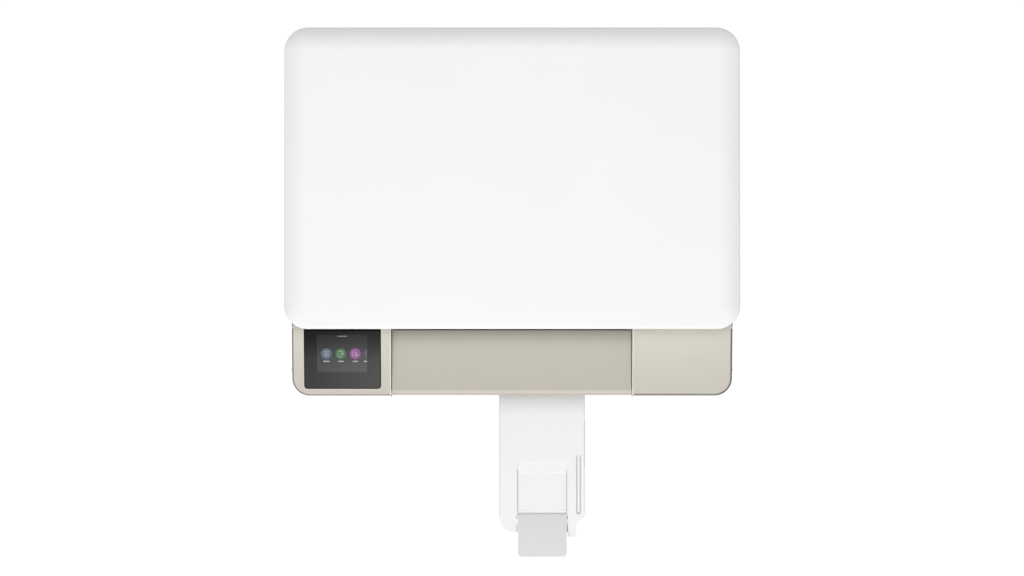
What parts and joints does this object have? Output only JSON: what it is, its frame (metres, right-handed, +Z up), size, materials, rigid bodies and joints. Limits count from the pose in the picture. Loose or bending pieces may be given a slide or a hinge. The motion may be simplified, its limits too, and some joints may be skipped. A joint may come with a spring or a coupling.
{
  "type": "inkjet printer",
  "caption": "Home A4 all-in-one inkjet printer with a scanner lid, sloping front deck with touch screen, centre access door and a pull-out output tray extender with a folding paper stop.",
  "frame": {"origin": "on the table under the middle of the printer with its output tray pulled out", "axes": "+X to the right as the user faces the printer, +Y to the rear, +Z up; the front faces -Y"},
  "size_m": [0.46, 0.558, 0.178],
  "materials": {
    "white_shell": "fine matte texture, white",
    "beige_deck": "fine matte texture, warm beige",
    "door_beige": "fine matte texture, darker beige",
    "stop_grey": "satin light grey",
    "inner_grey": "matte dark grey",
    "black_plastic": "satin black",
    "screen_glass": "gloss black touch panel",
    "display": "dark display",
    "clear_glass": "clear float glass",
    "foam_pad": "white foam-backed film",
    "sheet_steel": "zinc-plated sheet",
    "bright_steel": "ground steel bar",
    "feed_rubber": "ground rubber",
    "foot_rubber": "matte rubber",
    "gear_white": "natural acetal",
    "circuit_green": "solder-masked board",
    "port_metal": "nickel-plated"
  },
  "bodies": {
    "base": {"base_shell": "white_shell", "upper_casing": "beige_deck", "scanner_base": "white_shell", "scanner_glass": "clear_glass", "lid_hinges": "inner_grey", "touch_glass": "screen_glass", "display_panel": "display", "output_tray": "inner_grey", "tray_guides": "inner_grey", "chassis_frame": "sheet_steel", "feed_motor": "sheet_steel", "pinch_holder": "inner_grey", "platen": "black_plastic", "exit_bearing_frame": "inner_grey", "carriage_rod": "bright_steel", "carriage_belt": "feed_rubber", "carriage_motor": "sheet_steel", "scan_rod": "bright_steel", "scan_motor": "sheet_steel", "turn_guide": "inner_grey", "service_station": "inner_grey", "power_supply": "black_plastic", "power_inlet": "black_plastic", "main_board": "circuit_green", "usb_port": "port_metal", "casing_screws": "sheet_steel", "rubber_feet": "foot_rubber"},
    "lid": {"lid": "white_shell", "lid_inner_panel": "white_shell", "lid_pad": "foam_pad"},
    "access_door": {"access_door": "door_beige"},
    "extender": {"tray_extender": "white_shell"},
    "stop_flap": {"paper_stop": "stop_grey"},
    "paper_tray": {"paper_tray": "inner_grey"},
    "left_width_guide": {"width_guide_left": "inner_grey"},
    "right_width_guide": {"width_guide_right": "inner_grey"},
    "guide_pinion": {"guide_pinion": "gear_white"},
    "length_guide": {"length_guide": "inner_grey"},
    "photo_tray": {"photo_tray": "inner_grey"},
    "feed_roller": {"feed_shaft": "bright_steel", "feed_sleeves": "feed_rubber", "feed_gear": "gear_white"},
    "idler_gear": {"idler_gear": "gear_white"},
    "feed_pinion": {"feed_pinion": "gear_white"},
    "pinch_rollers": {"pinch_rollers": "black_plastic"},
    "exit_roller": {"exit_roller": "feed_rubber"},
    "star_wheels": {"star_wheels": "bright_steel"},
    "carriage": {"print_carriage": "black_plastic", "black_cartridge": "black_plastic", "colour_cartridge": "inner_grey"},
    "motor_pulley": {"motor_pulley": "gear_white"},
    "idler_pulley": {"idler_pulley": "gear_white"},
    "scan_bar": {"scan_bar": "black_plastic"},
    "scan_pulley": {"scan_pulley": "gear_white"},
    "pick_arm": {"pick_arm": "black_plastic"},
    "pick_roller": {"pick_roller": "feed_rubber"},
    "rear_cover": {"rear_cover": "white_shell"},
    "service_sled": {"service_sled": "gear_white"},
    "wireless_button": {"wireless_button": "stop_grey"},
    "power_button": {"power_button": "stop_grey"}
  },
  "joints": [
    {"name": "lid_hinge", "type": "hinge", "parent": "base", "child": "lid", "pos_m": [0, 0.264, 0.153], "axis": [-1, 0, 0], "range_deg": [0, 80]},
    {"name": "access_door_hinge", "type": "hinge", "parent": "base", "child": "access_door", "pos_m": [0, -0.044, 0.1225], "axis": [-1, 0, 0], "range_deg": [0, 78]},
    {"name": "rear_cover_hinge", "type": "hinge", "parent": "base", "child": "rear_cover", "pos_m": [0, 0.264, 0.026], "axis": [-1, 0, 0], "range_deg": [0, 50]},
    {"name": "extender_slide", "type": "slide", "parent": "base", "child": "extender", "axis": [0, 1, 0], "range_m": [0, 0.15]},
    {"name": "stop_flap_hinge", "type": "hinge", "parent": "extender", "child": "stop_flap", "pos_m": [0.03195, -0.2364, 0.0522], "axis": [-1, 0, 0], "range_deg": [0, 160]},
    {"name": "paper_tray_slide", "type": "slide", "parent": "base", "child": "paper_tray", "axis": [0, -1, 0], "range_m": [0, 0.2]},
    {"name": "left_guide_slide", "type": "slide", "parent": "paper_tray", "child": "left_width_guide", "axis": [1, 0, 0], "range_m": [0, 0.042]},
    {"name": "right_guide_slide", "type": "slide", "parent": "paper_tray", "child": "right_width_guide", "axis": [-1, 0, 0], "range_m": [0, 0.042]},
    {"name": "guide_pinion_spin", "type": "hinge", "parent": "paper_tray", "child": "guide_pinion", "pos_m": [0, 0.073, 0.0114], "axis": [0, 0, 1], "continuous": true},
    {"name": "length_guide_slide", "type": "slide", "parent": "paper_tray", "child": "length_guide", "axis": [0, -1, 0], "range_m": [0, 0.1]},
    {"name": "photo_tray_slide", "type": "slide", "parent": "base", "child": "photo_tray", "axis": [0, -1, 0], "range_m": [0, 0.13]},
    {"name": "feed_roller_spin", "type": "hinge", "parent": "base", "child": "feed_roller", "pos_m": [0, 0.075, 0.062], "axis": [1, 0, 0], "continuous": true},
    {"name": "idler_gear_spin", "type": "hinge", "parent": "base", "child": "idler_gear", "pos_m": [-0.14, 0.04303, 0.05], "axis": [1, 0, 0], "continuous": true},
    {"name": "feed_pinion_spin", "type": "hinge", "parent": "base", "child": "feed_pinion", "pos_m": [-0.14, 0.10215, 0.062], "axis": [1, 0, 0], "continuous": true},
    {"name": "pinch_rollers_spin", "type": "hinge", "parent": "base", "child": "pinch_rollers", "pos_m": [0, 0.075, 0.0724], "axis": [1, 0, 0], "continuous": true},
    {"name": "exit_roller_spin", "type": "hinge", "parent": "base", "child": "exit_roller", "pos_m": [0, -0.038, 0.062], "axis": [1, 0, 0], "continuous": true},
    {"name": "star_wheels_spin", "type": "hinge", "parent": "base", "child": "star_wheels", "pos_m": [0, -0.038, 0.0719], "axis": [1, 0, 0], "continuous": true},
    {"name": "carriage_slide", "type": "slide", "parent": "base", "child": "carriage", "axis": [-1, 0, 0], "range_m": [0, 0.29]},
    {"name": "motor_pulley_spin", "type": "hinge", "parent": "base", "child": "motor_pulley", "pos_m": [-0.19, 0.066, 0.103], "axis": [0, 0, 1], "continuous": true},
    {"name": "idler_pulley_spin", "type": "hinge", "parent": "base", "child": "idler_pulley", "pos_m": [0.19, 0.066, 0.103], "axis": [0, 0, 1], "continuous": true},
    {"name": "scan_bar_slide", "type": "slide", "parent": "base", "child": "scan_bar", "axis": [1, 0, 0], "range_m": [0, 0.34]},
    {"name": "scan_pulley_spin", "type": "hinge", "parent": "base", "child": "scan_pulley", "pos_m": [0.192, 0.143, 0.139], "axis": [0, 0, 1], "continuous": true},
    {"name": "pick_arm_hinge", "type": "hinge", "parent": "base", "child": "pick_arm", "pos_m": [0, 0.15, 0.056], "axis": [1, 0, 0], "range_deg": [0, 7]},
    {"name": "pick_roller_spin", "type": "hinge", "parent": "pick_arm", "child": "pick_roller", "pos_m": [0, 0.19, 0.038], "axis": [1, 0, 0], "continuous": true},
    {"name": "service_sled_slide", "type": "slide", "parent": "base", "child": "service_sled", "axis": [0, -1, 0], "range_m": [0, 0.012]},
    {"name": "wireless_button_press", "type": "slide", "parent": "base", "child": "wireless_button", "axis": [0, -1, 0], "range_m": [0, 0.0012], "stiffness_N_per_m": 300},
    {"name": "power_button_press", "type": "slide", "parent": "base", "child": "power_button", "axis": [0, -1, 0], "range_m": [0, 0.0012], "stiffness_N_per_m": 300}
  ],
  "couplings": [
    {"joint": "right_guide_slide", "follows": "left_guide_slide", "ratio": 1},
    {"joint": "guide_pinion_spin", "follows": "left_guide_slide", "rad_per_m": 138.89},
    {"joint": "idler_gear_spin", "follows": "feed_roller_spin", "ratio": -1.4286},
    {"joint": "feed_pinion_spin", "follows": "feed_roller_spin", "ratio": -2.8571},
    {"joint": "pinch_rollers_spin", "follows": "feed_roller_spin", "ratio": -1.5},
    {"joint": "exit_roller_spin", "follows": "feed_roller_spin", "ratio": 1.2},
    {"joint": "star_wheels_spin", "follows": "feed_roller_spin", "ratio": -1.3333},
    {"joint": "pick_roller_spin", "follows": "feed_roller_spin", "ratio": 0.66667},
    {"joint": "motor_pulley_spin", "follows": "carriage_slide", "rad_per_m": -153.85},
    {"joint": "idler_pulley_spin", "follows": "carriage_slide", "rad_per_m": -153.85},
    {"joint": "scan_pulley_spin", "follows": "scan_bar_slide", "rad_per_m": 181.82}
  ]
}
